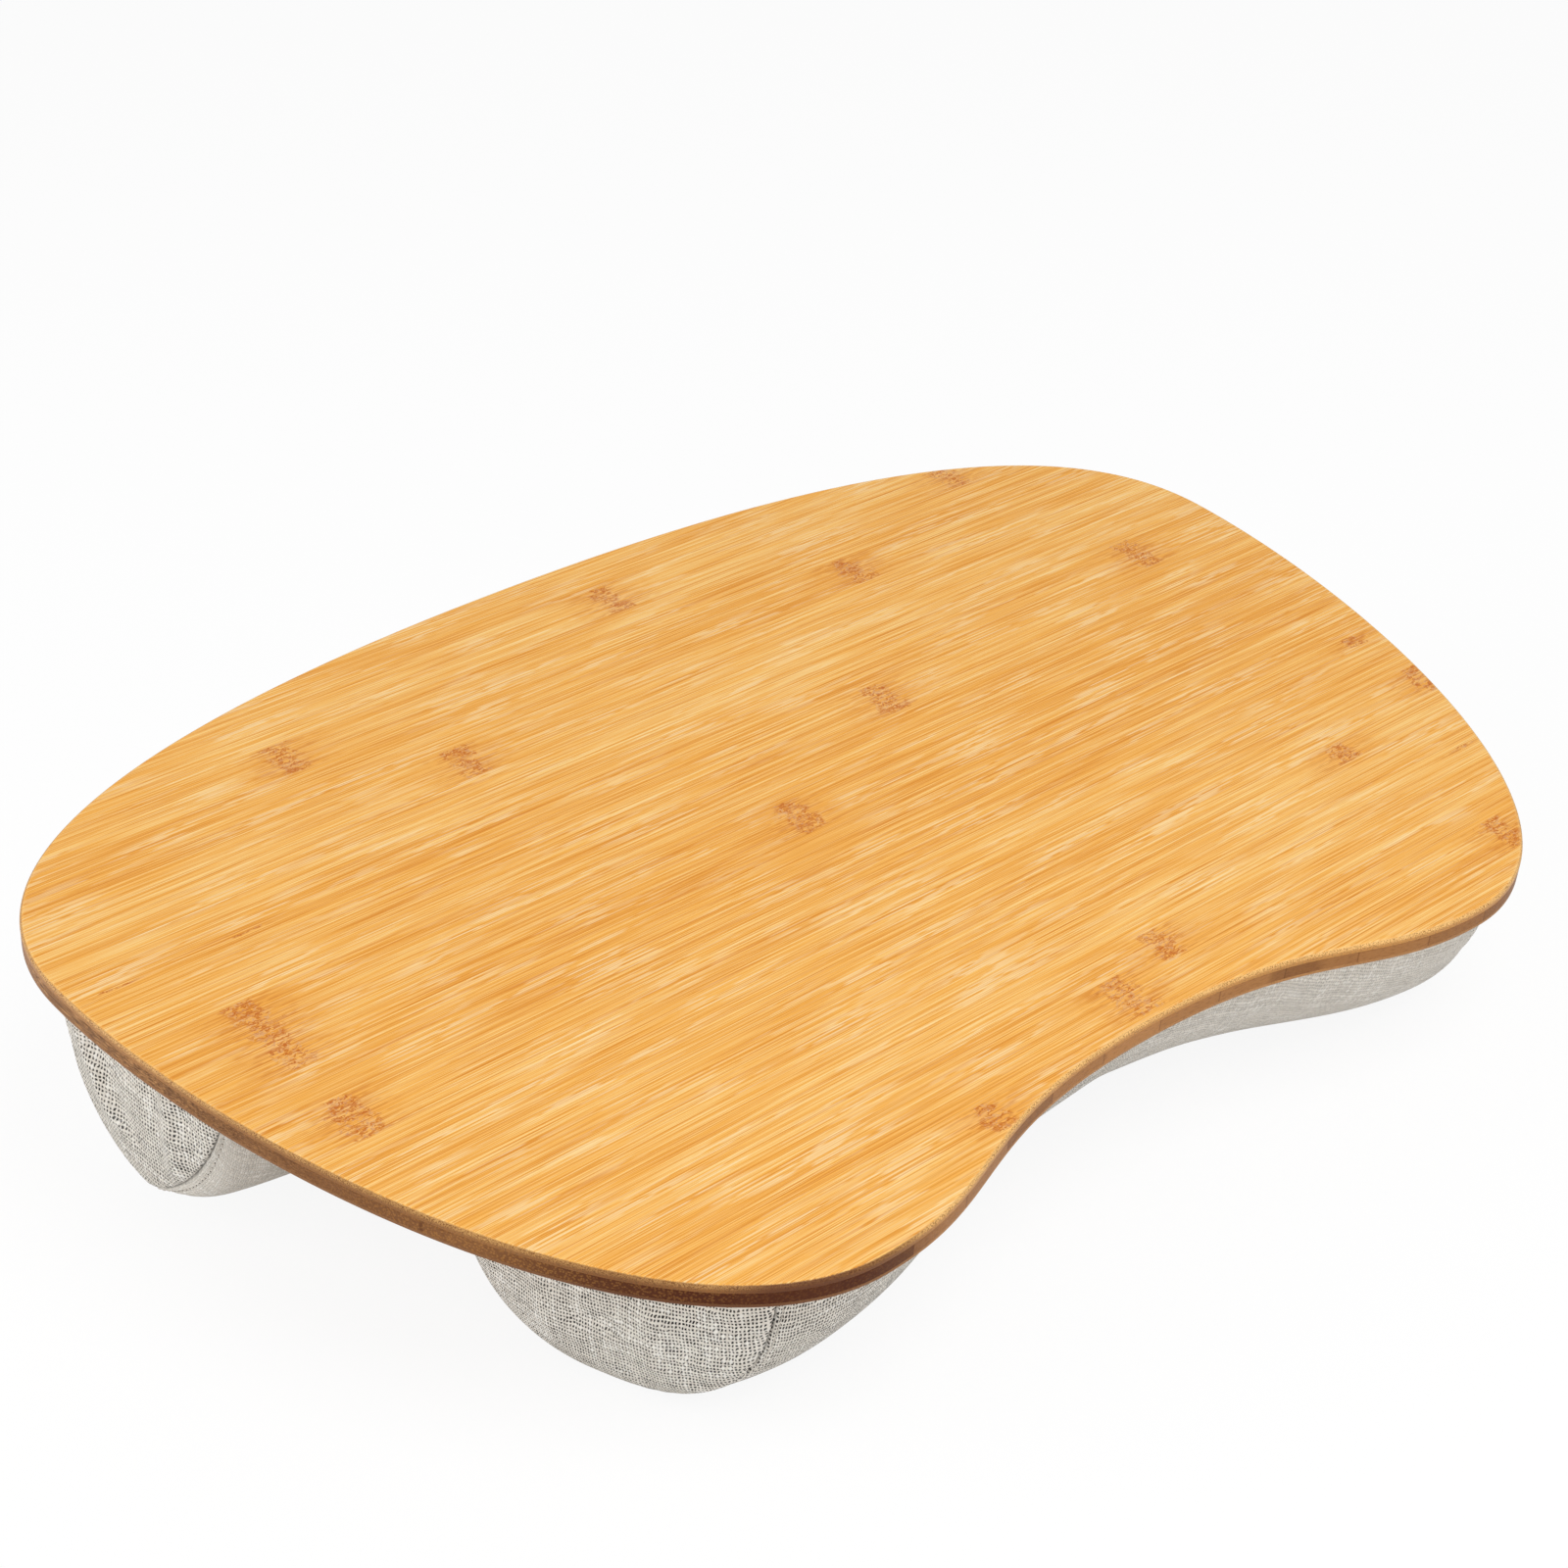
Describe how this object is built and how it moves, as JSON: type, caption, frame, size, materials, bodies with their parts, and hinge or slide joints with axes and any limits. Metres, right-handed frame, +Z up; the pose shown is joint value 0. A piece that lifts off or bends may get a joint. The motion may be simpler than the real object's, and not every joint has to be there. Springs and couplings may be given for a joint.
{
  "type": "lap desk",
  "caption": "Bean-shaped laminated bamboo board with a waist cut-out, carried on a shallow front bolster and a deeper rear bolster of linen-look cloth, so the top leans towards the sitter.",
  "frame": {"origin": "middle of the desk's box, on the surface it stands on", "axes": "+X to the sitter's right, +Y away from the sitter, +Z up"},
  "size_m": [0.571, 0.3834, 0.1111],
  "materials": {
    "bamboo_face": "satin lacquered bamboo, grain left to right",
    "bamboo_core": "darker bamboo strips, grain front to back",
    "bamboo_back": "satin bamboo",
    "linen_cloth": "oatmeal grey linen-look plain weave",
    "lining_cloth": "plain lining cloth",
    "fibre_fill": "loose white fibre"
  },
  "bodies": {
    "root": {"board_face_ply": "bamboo_face", "board_core_ply": "bamboo_core", "board_back_ply": "bamboo_back", "front_bolster_wrap": "linen_cloth", "front_bolster_left_end": "linen_cloth", "front_bolster_right_end": "linen_cloth", "front_bolster_base": "lining_cloth", "front_bolster_filling": "fibre_fill", "rear_bolster_wrap": "linen_cloth", "rear_bolster_left_end": "linen_cloth", "rear_bolster_right_end": "linen_cloth", "rear_bolster_base": "lining_cloth", "rear_bolster_filling": "fibre_fill"}
  },
  "joints": []
}
